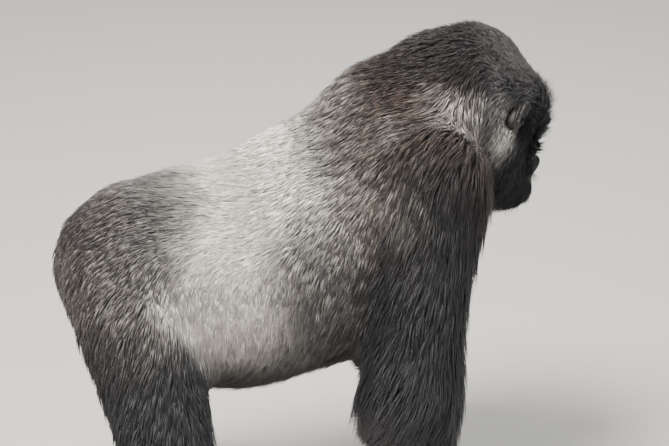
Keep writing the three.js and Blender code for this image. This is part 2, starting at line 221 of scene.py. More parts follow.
def node_finder(names):
    """A search tree over the named solids, and the name each of its faces belongs to."""
    whole, owners = bmesh.new(), []
    for name in names:
        whole.from_mesh(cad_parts[name].data)
        owners += [name] * (len(whole.faces) - len(owners))
    tree = BVHTree.FromBMesh(whole)
    whole.free()
    return tree, owners


def owners_of(points, finder):
    """The kind of the solid nearest each point."""
    tree, owners = finder
    return np.array([kind_of(owners[tree.find_nearest(Vector(point))[2]]) for point in points.tolist()])


class Net:
    """The edges of a mesh, for spreading values over it."""

    def __init__(self, mesh):
        edges = np.empty(len(mesh.edges) * 2, np.int32)
        mesh.edges.foreach_get("vertices", edges)
        a, b = edges.reshape(-1, 2).T
        self.here, self.there = np.concatenate([a, b]), np.concatenate([b, a])
        self.count = len(mesh.vertices)
        self.degree = np.maximum(np.bincount(self.here, minlength=self.count), 1)

    def mean(self, values):
        columns = values.reshape(self.count, -1).T
        sums = [np.bincount(self.here, column[self.there], self.count) for column in columns]
        return (np.stack(sums, 1) / self.degree[:, None]).reshape(values.shape)

    def spread(self, values, rounds, share=0.5):
        """values drawn towards their neighbours' mean; share may be a number for each vertex."""
        share = np.broadcast_to(share, self.count).reshape((-1,) + (1,) * (values.ndim - 1))
        for _ in range(rounds):
            values = values + share * (self.mean(values) - values)
        return values


def move_to(mesh, points):
    mesh.vertices.foreach_set("co", points.astype(np.float32).ravel())
    mesh.update()


# ---- volumes
def level_set(shell, voxel, reach, closing):
    """Distances in metres from the outside of overlapping solids on a dense grid, and its first cell.

    Gaps narrower than twice `closing` are filled, as are the faces where the solids meet. The distances
    hold to `reach` cells from the surface.
    """
    bmesh.ops.triangulate(shell, faces=shell.faces)
    points = np.array([vert.co for vert in shell.verts], np.float32)
    triangles = np.array([[vert.index for vert in face.verts] for face in shell.faces], np.uint32)
    shell.free()
    cells = openvdb.createLinearTransform(voxelSize=voxel)
    make = openvdb.FloatGrid.createLevelSetFromPolygons
    wide = make(points, triangles=triangles, transform=cells, halfWidth=closing / voxel + 2)
    points, quads = wide.convertToQuads(isovalue=closing)
    grid = make(points, quads=quads, transform=cells, halfWidth=reach)
    low, high = grid.evalActiveVoxelBoundingBox()
    values = np.empty([h - l + 1 for l, h in zip(low, high)], np.float32)
    grid.copyToArray(values, ijk=low)
    return values + closing, np.array(low)


def surface(values, first, voxel):
    """The closed mesh where a grid's values are zero: its points and its four-sided faces, facing out."""
    grid = openvdb.FloatGrid(float(values.max()))
    grid.copyFromArray(values.astype(np.float32), ijk=tuple(int(i) for i in first))
    grid.transform = openvdb.createLinearTransform(voxelSize=voxel)
    points, quads = grid.convertToQuads(isovalue=0.0)
    corners = points[quads[:, :3]].astype(float)
    volume = np.einsum("ij,ij->", corners[:, 0], np.cross(corners[:, 1], corners[:, 2]))
    return points, quads if volume > 0 else quads[:, ::-1]


def blurred(values, rounds):
    """A grid's values, each averaged with its neighbours along every axis."""
    for _ in range(rounds):
        for axis in range(3):
            cells = np.arange(values.shape[axis])
            before = values.take(np.maximum(cells - 1, 0), axis)
            after = values.take(np.minimum(cells + 1, len(cells) - 1), axis)
            values = values / 2 + (before + after) / 4
    return values


def axes_of(box, step):
    """The places of a grid's cells along each side of a box."""
    return [low + step * np.arange(int((high - low) / step)) for low, high in box]


def cell_places(shape, first, voxel):
    """The X, Y and Z of a grid's cells, each in an array that spreads along its own axis."""
    return [
        ((np.arange(n) + start) * voxel).reshape([-1 if axis == k else 1 for axis in range(3)])
        for k, (n, start) in enumerate(zip(shape, first))
    ]


def stretched(values, steps):
    """A grid sampled along each axis at fractional steps."""
    for axis, step in enumerate(steps):
        step = np.clip(step, 0, values.shape[axis] - 1.001)
        low = step.astype(int)
        part = (step - low).reshape([-1 if axis == k else 1 for k in range(3)])
        values = values.take(low, axis) * (1 - part) + values.take(low + 1, axis) * part
    return values


# ---- the skin's rough form
VOXEL = 6 * MM
FINE = 3 * MM  # for the hands and feet
SWELL = 2 * MM  # each solid grows by this before they are joined, which closes the cuts between them
FINE_SWELL = 0.6 * MM
REACH, FINE_REACH = 9, 8  # cells on each side of the surface that hold distances
BLUR, FINE_BLUR = 5, 2  # rounds
CLOSING = 15 * MM  # half the width of the gaps that are filled
# For each kind of solid: how far the skin lies inside it, then its tufts' height over the skin, length and
# width, all in millimetres, how closely they keep to that height, and how many layers of them there are.
COAT = {
    "head": (13, 13, 27, 1.8, 0.9, 5.0),
    "neck": (20, 20, 44, 2.2, 0.9, 3.6),
    "chest": (15, 15, 42, 2.1, 0.9, 3.4),
    "abdomen": (10, 14, 34, 2.1, 0.9, 3.7),
    "upper_arm": (22, 22, 70, 2.4, 0.6, 3.6),
    "forearm": (20, 20, 62, 2.4, 0.45, 3.6),
    "hand": (2.5, 2.5, 16, 1.8, 0.9, 3.0),
    "thigh": (17, 17, 52, 2.7, 0.7, 3.2),
    "shank": (14, 14, 48, 2.7, 0.7, 3.2),
    "foot": (2.5, 2.5, 12, 1.8, 0.9, 2.5),
}
DIGIT = (1.0, 0, 0, 1.8, 0.9, 0)  # the fingers and toes are bare
LATTICE = 25 * MM  # cells of the grid on which the coat's depth is spread
BODY = [name for name in FLESH if kind_of(name) != "ear"]


def depth_grid(shape, first, voxel, finder):
    """The coat's depth, in metres, at each cell of a grid."""
    tree, owners = finder
    ends = [(first[k] * voxel, (first[k] + shape[k]) * voxel) for k in range(3)]
    axes = [np.arange(low - LATTICE, high + 2 * LATTICE, LATTICE) for low, high in ends]
    rough = np.array([
        COAT.get(kind_of(owners[tree.find_nearest(Vector((x, y, z)))[2]]), DIGIT)[0]
        for x in axes[0] for y in axes[1] for z in axes[2]
    ]).reshape([len(axis) for axis in axes])
    steps = [
        (np.arange(n) + start) * voxel / LATTICE - axis[0] / LATTICE
        for n, start, axis in zip(shape, first, axes)
    ]
    return stretched(blurred(rough, 1), steps) * MM


HAND_TOP, FOOT_TOP = 0.150, 0.086  # heights at which the finer hands and feet meet the limbs
OVERLAP = 12 * MM
LIMB_INSET = 2.5 * MM  # the fine form's limb lies this far inside the rough one
FLOOR_GAP = 0.2 * MM


def tops(x):
    """The height below which the finer grid makes the skin: the hands are ahead of the feet."""
    return np.where(x > 0, HAND_TOP, FOOT_TOP)


def body_form(finder):
    """All but the hands and feet."""
    values, first = level_set(flesh_shell(BODY, SWELL), VOXEL, REACH, CLOSING)
    x, _, z = cell_places(values.shape, first, VOXEL)
    values = blurred(values, BLUR) + SWELL + depth_grid(values.shape, first, VOXEL, finder)
    return surface(np.maximum(values, tops(x) - z), first, VOXEL)


def end_form(part, side, finder):
    """A hand or foot with its digits, and the start of the limb over it."""
    limb = {"hand": "forearm", "foot": "shank"}[part]
    digits = {"hand": FINGERS, "foot": TOES}[part]
    names = [f"{name}_{side}" for name in [part, limb] + digits]
    values, first = level_set(flesh_shell(names, FINE_SWELL), FINE, FINE_REACH, 0.6 * FINE)
    x, _, z = cell_places(values.shape, first, FINE)
    over = z - tops(x) - OVERLAP
    values = blurred(values, FINE_BLUR) + FINE_SWELL + depth_grid(values.shape, first, FINE, finder)
    values = values + LIMB_INSET * smooth(over, -2 * OVERLAP, -OVERLAP)
    return surface(np.maximum(values, np.maximum(over, FLOOR_GAP - z)), first, FINE)


def united(first, *others):
    """The union of closed meshes, as one object."""
    for other in others:
        cut = first.modifiers.new("join", "BOOLEAN")
        cut.operation, cut.solver, cut.object = "UNION", "MANIFOLD", other
    made = applied(first)
    for other in others:
        bpy.data.objects.remove(other)
    return made


def mask_nearness(head_points):
    """Below 1 on the bare mask of the face (brow, cheeks, nose and lips) and above 1 off it."""
    x, y, z = head_points.T
    upper = np.hypot(y / 64, (z + 34) / 90)
    lower = np.hypot(y / (60 - 22 * smooth(z, -34, -84)), (z + 34) / 72)
    return np.where(z > -34, upper, lower) + 2 * smooth(x, 46, 24)


def bareness(head_points):
    """1 on the bare mask of the face and 0 in the hair round it."""
    return 1 - smooth(mask_nearness(head_points), 0.92, 1.06)


def face_share(head_points):
    """How far the skin takes the face's own form: 1 on the face, 0 at the ears and below the jaw."""
    x, y, z = head_points.T
    across = np.hypot(y / 84, (z + 30) / np.where(z > -30, 118, 104))
    return smooth(x, 34, 62) * (1 - smooth(across, 0.86, 1.08))


# ---- the face
# A field gives the distance in millimetres from points of the head's own frame to a surface.
def turned(points, degrees):
    """Points turned back by degrees about X, then Y, then Z."""
    for axis, angle in zip((2, 1, 0), degrees[::-1]):
        c, s = math.cos(math.radians(-angle)), math.sin(math.radians(-angle))
        i, j = (axis + 1) % 3, (axis + 2) % 3
        points = points.copy()
        points[:, i], points[:, j] = c * points[:, i] - s * points[:, j], s * points[:, i] + c * points[:, j]
    return points


def ball(points, centre, sizes, turn=(0, 0, 0)):
    local = turned(points - np.array(centre, float), turn)
    near = np.linalg.norm(local / sizes, axis=1)
    slope = np.linalg.norm(local / np.square(sizes), axis=1)
    return near * (near - 1) / np.maximum(slope, 1e-9)


def rod(points, a, b, ra, rb):
    a, b = np.array(a, float), np.array(b, float)
    t = np.clip((points - a) @ (b - a) / (b - a).dot(b - a), 0, 1)
    return np.linalg.norm(points - a - t[:, None] * (b - a), axis=1) - ra - t * (rb - ra)


def join(width, *fields):
    total = fields[0]
    for other in fields[1:]:
        h = np.maximum(width - np.abs(total - other), 0) / width
        total = np.minimum(total, other) - h * h * width / 4
    return total


def carve(width, body, hollow):
    return -join(width, -body, hollow)


def path(points, corners, radii, width=3):
    """A chain of tapered rods through corners."""
    links = zip(corners, corners[1:], radii, radii[1:])
    return join(width, *[rod(points, a, b, ra, rb) for a, b, ra, rb in links])


EYE_DEEP = EYE - np.array([3.0, 0, 0])  # where the finished eye sits, a little deeper than the solid one
LID = 2.4
MOUTH = [(177, 0, -96), (173, 16, -96.5), (161, 31, -98), (142, 43, -102)]  # from the middle to a corner


def mirrored(points):
    """Points folded onto the left half of the head, which is the same on both sides."""
    return np.stack([points[:, 0], np.abs(points[:, 1]), points[:, 2]], 1)


MIRROR = np.array([1, -1, 1])  # on the other side of the head


def ring(points, centre, axis, radius, thickness):
    """A torus round a centre and an axis."""
    axis = np.array(axis, float) / np.linalg.norm(axis)
    local = points - np.array(centre, float)
    along = local @ axis
    out = np.linalg.norm(local - along[:, None] * axis, axis=1)
    return np.hypot(out - radius, along) - thickness


def skull_field(p):
    """The head's masses under its hair."""
    return join(
        30,
        ball(p, (-12, 0, 40), (98, 76, 76)),
        ball(p, (-40, 0, 104), (88, 42, 66), (0, -8, 0)),
        ball(p, (8, 54, 50), (70, 32, 62)),
        ball(p, (20, 64, -50), (58, 36, 72)),
        ball(p, (14, 0, -100), (80, 70, 48)),
    )


def nose_field(p):
    """The bridge, the padded tip and the thick wings round the nostrils."""
    bridge = join(8, rod(p, (110, 0, 30), (120, 0, -4), 11, 12), rod(p, (120, 0, -4), (139, 0, -30), 12, 15))
    pad = ball(p, (142, 0, -36), (24, 30, 18))
    wing = ring(p, (155, 17, -42), (1, 0.45, -0.22), 13.5, 7)
    return join(8, bridge, pad, wing, rod(p, (158, 0, -46), (160, 0, -56), 6.5, 5.5))


def face_field(points):
    """The head's front: brow, sockets and lids, nose, cheeks, muzzle, lips and chin."""
    p = mirrored(points)
    brow = join(12, rod(p, (116, 0, 43), (97, 56, 36), 17, 11), ball(p, (117, 24, 45), (19, 24, 14)))
    cheek = join(16, ball(p, (84, 48, -10), (30, 27, 23)), ball(p, (62, 50, -50), (52, 30, 50)))
    muzzle = join(
        14,
        ball(p, (98, 0, -70), (66, 50, 48)),
        ball(p, (118, 0, -82), (59, 49, 26)),
        ball(p, (106, 0, -112), (60, 43, 24)),
        ball(p, (98, 0, -126), (50, 37, 20)),
    )
    form = join(24, skull_field(p), ball(p, (64, 0, 2), (60, 62, 60)), cheek)
    form = join(18, form, brow)
    form = join(14, form, muzzle)
    form = carve(12, form, ball(p, (128, 36, 13), (22, 20, 12), (0, 0, 12)))  # the eye's socket
    form = join(9, form, nose_field(p))
    form = carve(2.5, form, ball(p, (167, 16, -43), (20, 8.4, 7.4), (-28, 0, 16)))  # nostril
    eye = EYE_DEEP
    form = join(5, form, ball(p, eye, (EYEBALL + LID,) * 3))
    form = join(4, form, rod(p, eye + (9, -13, 9), eye + (4, 15, 8), 5, 4.5))  # fold over the upper lid
    form = join(4, form, rod(p, eye + (8, -11, -10), eye + (4, 13, -9), 4, 3.5))  # pouch under the eye
    form = carve(1.4, form, ball(p, eye + (12, 0.5, -0.5), (9, 11, 4.8), (8, 0, 10)))  # between the lids
    form = carve(5, form, rod(p, (170, 0, -64), (182, 0, -82), 1.5, 2.2))  # philtrum
    upper = [(x - 5, y, z + 4.0) for x, y, z in MOUTH]
    lower = [(x - 6, y, z - 5.0) for x, y, z in MOUTH]
    form = join(9, form, path(p, upper, [4.6, 4.2, 3.6, 2]), path(p, lower, [5.2, 4.8, 4, 2]))
    return carve(2.4, form, path(p, [(x + 1.5, y, z) for x, y, z in MOUTH], [2.0, 2.0, 1.8, 1.0]))


FACE_LINES = [  # wrinkles: the corners of each, its width and its depth, in the head's millimetres
    ([(140, 0, 22), (134, 12, 24), (126, 20, 30)], 1.5, 1.3),
    ([(142, 0, 14), (136, 11, 15), (128, 18, 20)], 1.5, 1.5),
    ([(143, 0, 6), (138, 12, 5), (130, 20, 4)], 1.5, 1.4),
    ([(144, 0, -3), (140, 13, -6), (132, 22, -8)], 1.5, 1.1),
    ([(126, 22, -2), (118, 36, -4), (106, 48, 0)], 1.8, 1.6),
    ([(130, 24, -10), (122, 38, -14), (108, 52, -12)], 1.8, 1.4),
    ([(134, 28, -18), (126, 42, -24), (110, 56, -24)], 1.8, 1.0),
    ([(108, 50, 14), (98, 60, 10), (90, 66, 4)], 1.4, 1.1),
    ([(108, 50, 20), (99, 60, 20), (91, 66, 17)], 1.4, 1.0),
    ([(168, 14, -74), (166, 16, -84), (164, 17, -90)], 1.4, 0.8),
    ([(162, 26, -74), (158, 29, -86), (154, 31, -92)], 1.4, 0.9),
    ([(150, 40, -78), (146, 43, -90), (142, 44, -98)], 1.6, 1.0),
    ([(160, 0, -118), (154, 16, -118), (142, 30, -118)], 1.8, 1.0),
]


def wrinkle_depth(points):
    """How far the face's lines press its surface in, in millimetres."""
    p = mirrored(points)
    total = np.zeros(len(p))
    for corners, width, depth in FACE_LINES:
        near = path(p, corners, [0.0] * len(corners), 1)
        total += depth * np.exp(-np.square(near / width) / 2)
    return total


FACE_STEP = 1.6  # cell of the face's grid, in the head's millimetres
FACE_BOX = [(30, 192), (-96, 96), (-160, 96)]
SINK = 14  # how far the face's form dips inside the head where it ends
OUTSIDE = 5  # the field on the box's own faces, which closes the form there


def face_form():
    """The face's front as a closed mesh, which sinks into the head all round."""
    axes = axes_of(FACE_BOX, FACE_STEP)
    left = axes[1][axes[1] >= 0]
    grid = np.stack(np.meshgrid(axes[0], left, axes[2], indexing="ij"), -1)
    points = grid.reshape(-1, 3)
    values = (face_field(points) + SINK * (1 - face_share(points))).reshape(grid.shape[:3])
    values = np.concatenate([values[:, :0:-1], values], 1)  # the right half is the left half's mirror image
    values[0] = values[:, [0, -1]] = values[:, :, [0, -1]] = OUTSIDE
    points, quads = surface(values, np.zeros(3, int), 1)
    points = points * FACE_STEP + [axes[0][0], -left[-1], axes[2][0]]
    return from_head(points), quads


# ---- ears
EAR_TURN = (8, 14, -24)  # degrees, of the left ear
EAR_BOX = [(-26, 26), (-24, 18), (-36, 36)]
EAR_STEP = 1.1
HELIX = [
    (7, 1, 2), (13, 4, 16), (7, 7, 26), (-5, 9, 28), (-15, 9, 18), (-18, 9, 3), (-14, 8, -12), (-6, 6, -23),
]
SCAPHA = [(8, 6, 14), (0, 9, 22), (-10, 10, 14), (-13, 10, 2), (-10, 9, -9)]  # the groove inside the helix


def ear_field(p):
    """A left ear about its middle: X forward, Y out of the head, Z up."""
    form = join(5, ball(p, (-1, 1, 1), (15, 4.2, 25)), ball(p, (3, -11, -3), (13, 14, 19)))
    form = join(3, form, path(p, HELIX, [2.6, 3.2, 3.4, 3.4, 3.3, 3.2, 3.0, 3.0]))
    form = join(3, form, ball(p, (-1, 4, -25), (6.5, 3.4, 6.5)))  # lobe
    form = join(3, form, path(p, [(1, 3, 17), (-7, 5, 8), (-8, 5, -3), (-3, 5, -13)], [2.2, 2.8, 2.8, 2.4]))
    form = carve(3, form, ball(p, (4, 7, 0), (7, 9, 10)))  # concha
    form = carve(2, form, path(p, SCAPHA, [2.0] * 5))
    form = join(3, form, ball(p, (10, 4.5, -4), (4, 4, 6)))  # tragus
    return join(3, form, ball(p, (2, 5, -14), (4, 3.4, 3.4)))


def ear_forms():
    """Both ears as closed meshes: the right ear is the left one's mirror image."""
    grid = np.stack(np.meshgrid(*axes_of(EAR_BOX, EAR_STEP), indexing="ij"), -1)
    values = ear_field(grid.reshape(-1, 3)).reshape(grid.shape[:3])
    points, quads = surface(values, np.zeros(3, int), 1)
    points = points * EAR_STEP + [low for low, _ in EAR_BOX]
    points = points @ turned(np.eye(3), EAR_TURN).T
    middles = in_head(np.stack([middle("ear_l"), middle("ear_r")]))
    left = points + (middles[0] + middles[1] * MIRROR) / 2
    return [(from_head(left), quads), (from_head(left * MIRROR), quads[:, ::-1])]


# ---- the whole skin
PALM_BACK, PALM_TOP = 0.1, 0.18  # the lower palms are ahead of this X and below this height
PALM_TAPER = 0.3  # how far the lowest points of the palms go towards the knuckles
SHOULDER, SHOULDER_REACH = (0.24, 0.15, 0.85), (0.15, 0.13, 0.13)  # where the neck runs into the arm
SEAM_ROUNDS, SHOULDER_ROUNDS, PALM_ROUNDS = 12, 80, 150  # of smoothing
# Where the head's skin is set in, or out if the depth is below 0: centre, half sizes and depth.
HEAD_TRIMS = [
    ((-14, 30, 146), (110, 90, 80), 10),
    ((50, 92, 66), (70, 60, 80), -9),
]


def palm_shape(points, finder):
    """1 on the palms' lower ends, which are square in the frame, and how far forward these are drawn."""
    palm = np.flatnonzero((points[:, 0] > PALM_BACK) & (points[:, 2] < PALM_TOP))
    palm = palm[owners_of(points[palm], finder) == "hand"]
    x, y, z = points[palm].T
    low, forward = np.zeros(len(points)), np.zeros_like(points)
    low[palm] = smooth(z, 0.17, 0.13)
    knuckle = np.where(y > 0, middle("middle_finger_l")[0], middle("middle_finger_r")[0])
    forward[palm, 0] = PALM_TAPER * smooth(z, PALM_TOP, 0.115) * np.maximum(knuckle - x, 0)
    return low, forward


def shaped_skin():
    """The whole skin, in one closed mesh."""
    finder = node_finder(BODY)
    forms = [body_form(finder), face_form(), *ear_forms()]
    forms += [end_form(part, side, finder) for part in ("hand", "foot") for side in SIDES]
    made = united(*[new_object("skin", points, quads.tolist()) for points, quads in forms])
    net = Net(made.data)
    points = vectors_of(made.data)
    local = in_head(points)
    share = face_share(local)
    seam = smooth(share, 0.02, 0.2) * (1 - smooth(share, 0.75, 0.97))
    points = net.spread(points, SEAM_ROUNDS, 0.5 * net.spread(seam, 4))
    points = net.spread(points, 1, 0.3)
    shoulders = smooth(bump_at(mirrored(points), SHOULDER, SHOULDER_REACH), 0.0, 0.6)
    points = net.spread(points, SHOULDER_ROUNDS, 0.5 * shoulders)
    palms, forward = palm_shape(points, finder)
    points = net.spread(points + net.spread(forward, 14), PALM_ROUNDS, 0.5 * net.spread(palms, 3))
    move_to(made.data, points)
    inward = wrinkle_depth(local) * bareness(local)
    for centre, reach, depth in HEAD_TRIMS:
        inward += depth * bump_at(mirrored(local), centre, reach) * (1 - share)
    points -= vectors_of(made.data, "normal") * inward[:, None] * HEAD_UNIT
    move_to(made.data, points)
    return made


skin = smoothed(shaped_skin())


# ---- markings
HOLLOW = np.array([0.235, 0, 0.86])  # the hollow over the shoulder, with painted shade in it, and brown hair round it
HOLLOW_SHADE_REACH, BROWN_RADIUS, BROWN_WIDTH = 0.075, 0.115, 0.05
EAR_PATCH, EAR_PATCH_REACH = (-8, 92, -8), (46, 60, 50)  # the pale spot under the ear, in the head's frame
SHEEN, SHEEN_REACH = (0.165, 0.16, 0.945), (0.085, 0.085, 0.085)  # a painted sheen: the hair on top of the shoulder drawn paler, where light glances off it
ARM, LEG = ["upper_arm", "forearm"], ["thigh", "shank"]
MARKS = ("silver", "warm", "deep")


def saddle_silver(points, kinds):
    """The silver saddle, which leans forward up the flank, and the grey rim round it."""
    x, y, z = points.T
    ragged = noise(points, 0.09, 3) * 0.035 + noise(points, 0.03, 4) * 0.016
    height = smooth(z, 0.62, 0.86)
    behind = -0.320 + 0.155 * height + ragged
    before = -0.125 + 0.125 * height + ragged
    saddle = smooth(x, behind - 0.10, behind + 0.10) * (1 - 0.4 * smooth(x, before - 0.05, before + 0.08))
    saddle *= 1 - smooth(x, before - 0.02, before + 0.25)
    saddle *= 0.03 + 0.97 * smooth(z, 0.45, 0.65)
    saddle *= 1 - 0.9 * smooth(z, 0.66, 0.54) * (1 - smooth(np.abs(y), 0.1, 0.2))
    saddle *= 1 - 0.92 * np.isin(kinds, LEG + ["foot"] + TOES) * smooth(z, 0.74, 0.58)
    rim = smooth(x, behind - 0.26, behind) * (1 - smooth(x, before + 0.06, before + 0.25))
    return np.maximum(saddle, rim * 0.26 * smooth(z, 0.5, 0.72))


def markings(points, kinds, local):
    """How silvery, how warm brown and how deep black the hair is at each point, from 0 to 1; the silver
    holds a painted sheen on top of the shoulders and the black a painted shade in the hollow over them.
    """
    x, y, z = points.T
    hx, hy, hz = local.T
    on_head = smooth(hx, -150, -90) * (1 - smooth(np.abs(hy), 130, 170)) * smooth(hz, -170, -120)
    nape = smooth(hx, -240, -150) * (1 - smooth(np.abs(hy), 170, 215))
    grey = 0.36 * nape * smooth(hx, 26, -20) * (1 - smooth(hz, 30, 84)) * smooth(hz, -80, -10)
    patch = 0.5 * bump_at(mirrored(local), EAR_PATCH, EAR_PATCH_REACH) * on_head
    # painted sheen on top of the shoulders, added to the silver
    sheen = 0.22 * bump_at(mirrored(points), SHEEN, SHEEN_REACH)
    from_hollow = np.linalg.norm((points - HOLLOW) * [1, 0, 1], axis=1)
    ring_brown = np.exp(-np.square((from_hollow - BROWN_RADIUS) / BROWN_WIDTH)) * smooth(z, 0.6, 0.8)
    crown = np.maximum(smooth(hz, 60, 110) * on_head, smooth(z, 0.975, 1.015) * smooth(x, 0.1, 0.19))
    silver = np.maximum(saddle_silver(points, kinds), grey + patch + sheen) * (1 - 0.85 * crown)
    rump = smooth(x, -0.2, -0.34) * smooth(z, 0.5, 0.65)
    warm = 0.75 * ring_brown + 0.4 * crown + 0.4 * rump + 0.25 * band(x, 0.0, 0.35, 0.08)
    arm = np.isin(kinds, ARM) * smooth(z, 0.88, 0.78)
    face_side = smooth(hx, 0, 40) * on_head * (1 - patch)
    # painted shade: the hair in the hollow over the shoulder drawn deep black
    deep = np.exp(-np.square(from_hollow / HOLLOW_SHADE_REACH)) * smooth(z, 0.7, 0.85)
    return {
        "silver": np.clip(silver, 0, 1),
        "warm": np.clip(warm, 0, 1) * (1 - 0.85 * arm),
        "deep": np.clip(deep + 0.15 * arm + 0.85 * crown + 0.5 * face_side, 0, 1),
    }


# ---- the lie of the coat
FIELD_ROUNDS, WAY_ROUNDS, MARK_ROUNDS = 16, 30, 6  # of spreading over the skin
ELBOW_HEIGHT, ELBOW_REACH = 0.46, 0.07


def mixed(a, b, t):
    return a + (np.array(b) - a) * np.asarray(t)[:, None]


def flat(vectors, out):
    """Vectors laid flat on the surface, at length 1."""
    return unit(vectors - np.einsum("ij,ij->i", vectors, out)[:, None] * out)


def lie_of_hair(points, out, kinds, local):
    """The way the hair lies at each point, before it is smoothed over the skin."""
    x, y, z = points.T
    hx, hy, hz = local.T
    upward = out[:, 2]
    outward = np.outer(np.sign(y), [0, 1, 0])
    sweep = -0.55 + 0.75 * smooth(x, 0.12, -0.34)
    trunk = np.outer(sweep, [1, 0, 0]) + [0, 0, -1]
    trunk = mixed(trunk, (-1, 0, -0.2), smooth(upward, 0.3, 0.9))
    trunk = mixed(trunk, (-1, 0, -0.3), smooth(upward, -0.35, -0.8))
    breast = 0.5 * outward + [-0.1, 0, -1]
    trunk = mixed(trunk, breast, smooth(out[:, 0], 0.2, 0.7) * smooth(x, 0.1, 0.25))
    arm = mixed(np.array([-0.42, 0, -1]), (-1, 0, -0.5), smooth(z, 0.52, 0.40))
    arm = mixed(arm, (-0.3, 0, -1), smooth(z, 0.27, 0.17))
    over = 0.45 * outward + [-0.8, 0, -0.3]
    arm = mixed(arm, over, smooth(upward, 0.25, 0.75) * smooth(z, 0.6, 0.7))
    crown = mixed(np.array([-0.7, 0, -1]), (-1, 0, 0.1), smooth(hz, 30, 90))
    fringe = np.stack([np.full_like(hy, -0.5), hy / 60, (hz + 30) / 70], 1)
    head = mixed(crown, fringe, smooth(hx, 30, 66)) @ HEAD_AXES
    way = trunk
    for names, direction in (
        (ARM, arm), (LEG, (-0.35, 0, -1)), (["head"], head), (["foot"] + TOES, (1, 0, -0.4)),
        (["hand"] + FINGERS, (0.15, 0, -1)),
    ):
        way = np.where(np.isin(kinds, names)[:, None], direction, way)
    return flat(way, out)


def near_ear(local):
    """Points in the left ear's own place, from either side."""
    centre = in_head(np.stack([middle("ear_l")]))[0]
    return turned(mirrored(local) - centre, EAR_TURN)


def coat_fields(points, out, net, finder):
    """Everything the tufts need, as a number or a vector for each vertex of the skin."""
    local = in_head(points)
    hx, hy, hz = local.T
    z, forward, upward = points[:, 2], out[:, 0], out[:, 2]
    kinds = owners_of(points, finder)
    of_kind = np.array([COAT.get(kind, DIGIT)[1:] + (kind in COAT,) for kind in kinds], float)
    height, length, width, hug, cover, amount = net.spread(of_kind, FIELD_ROUNDS).T
    way = flat(net.spread(lie_of_hair(points, out, kinds, local), WAY_ROUNDS), out)
    marks = markings(points, kinds, local)
    marks = {key: net.spread(values, MARK_ROUNDS) for key, values in marks.items()}
    length *= 1 - 0.3 * marks["silver"]

    # the head: short hair on the brow and beside the mask, longer hair at the jaw and the cheeks
    on_head = kinds == "head"
    aside = smooth(np.abs(hy), 36, 64)
    brow = on_head * smooth(hx, 50, 90) * smooth(hz, -20, 30) * (1 - aside)
    fringe = on_head * (1 - smooth(mask_nearness(local), 0.86, 1.45 - 0.2 * aside))
    short = np.maximum(brow, fringe * (1 - 0.6 * aside))
    jaw = on_head * smooth(hz, -10, -80) * smooth(hx, -20, 20) * (1 - fringe)
    ruff = on_head * aside * smooth(hx, 6, 50) * (1 - smooth(hz, 84, 124))
    for share, longer, higher in ((jaw, 0.35, 0.55), (short, -0.62, -0.65), (ruff, 0.6, 1.3)):
        length *= 1 + longer * share
        height *= 1 + higher * share
    height *= 1 - 0.55 * on_head * smooth(hz, 90, 130) * smooth(hx, -80, -30)

    # the limbs: longer, looser hair behind the elbow, shorter at the wrist, none on palms, soles and digits
    length *= 1 - 0.35 * smooth(z, 0.26, 0.18) * (kinds == "forearm")
    elbow = np.exp(-np.square((z - ELBOW_HEIGHT) / ELBOW_REACH)) * np.isin(kinds, ARM) * (forward < 0)
    elbow = net.spread(elbow, 8)
    length *= 1 + 0.3 * elbow
    hug *= 1 - 0.5 * elbow
    hand_back = smooth(forward, -0.1, 0.4) * smooth(upward, -0.62, -0.3)
    foot_back = smooth(upward, 0.2, 0.6)
    hairless = np.isin(kinds, DIGITS)
    hairless |= (kinds == "hand") & (hand_back < 0.2) | (kinds == "foot") & (foot_back < 0.2)
    amount *= 1 - net.spread(hairless.astype(float), 6)

    # none on the mask and the ears, less on the breast
    amount *= 1 - smooth(on_head * bareness(local), 0.1, 0.6)
    ear = near_ear(local)
    on_ear = on_head * (1 - smooth(np.abs(ear_field(ear)), 1.2, 3.0)) * (hx < 40)
    footprint = np.hypot(ear[:, 0] / 19, ear[:, 2] / 28) + 3 * (np.abs(ear[:, 1]) > 40)
    amount *= (1 - on_ear) * smooth(footprint, 0.75, 1.05)
    length *= 0.55 + 0.45 * smooth(footprint, 0.9, 1.7)
    amount *= 1 - 0.55 * ((kinds == "chest") & (forward > 0.5) & (z < 0.75))
    return {
        "way": way, "length": length * MM, "width": width * MM, "height": height * MM, "hug": hug,
        "amount": np.clip(amount, 0, 1), "cover": cover, "ear": on_ear, "out": out, "kinds": kinds, **marks,
    }


# ---- tufts
TUFTS_TO_A_LOCK = 9
SUNK = 1.5 * MM  # how deep a tuft's root is in the skin
SHORTEST = 0.006  # no spot has more tufts than hair of this length needs
REGIONS = {
    "head": ["head"], "neck": ["neck"], "chest": ["chest"], "flank": ["abdomen"], "rump": ["abdomen"],
    "arm": ARM + ["hand"] + FINGERS, "leg": LEG + ["foot"] + TOES,
}
RUMP = -0.27  # the rump's coat lies behind this X
BENT = {"at": [0.0, 0.42], "widths": [0.6, 1.0]}  # a tuft's rings, from its root to its tip
STRAIGHT = {"at": [0.0], "widths": [1.0]}
STYLES = {"head": STRAIGHT, "flank": STRAIGHT}  # the rest have bent tufts
ROUNDNESS = 0.42  # a tuft's thickness against its width
SAG = 0.16  # how far a tuft's tip hangs, against its length


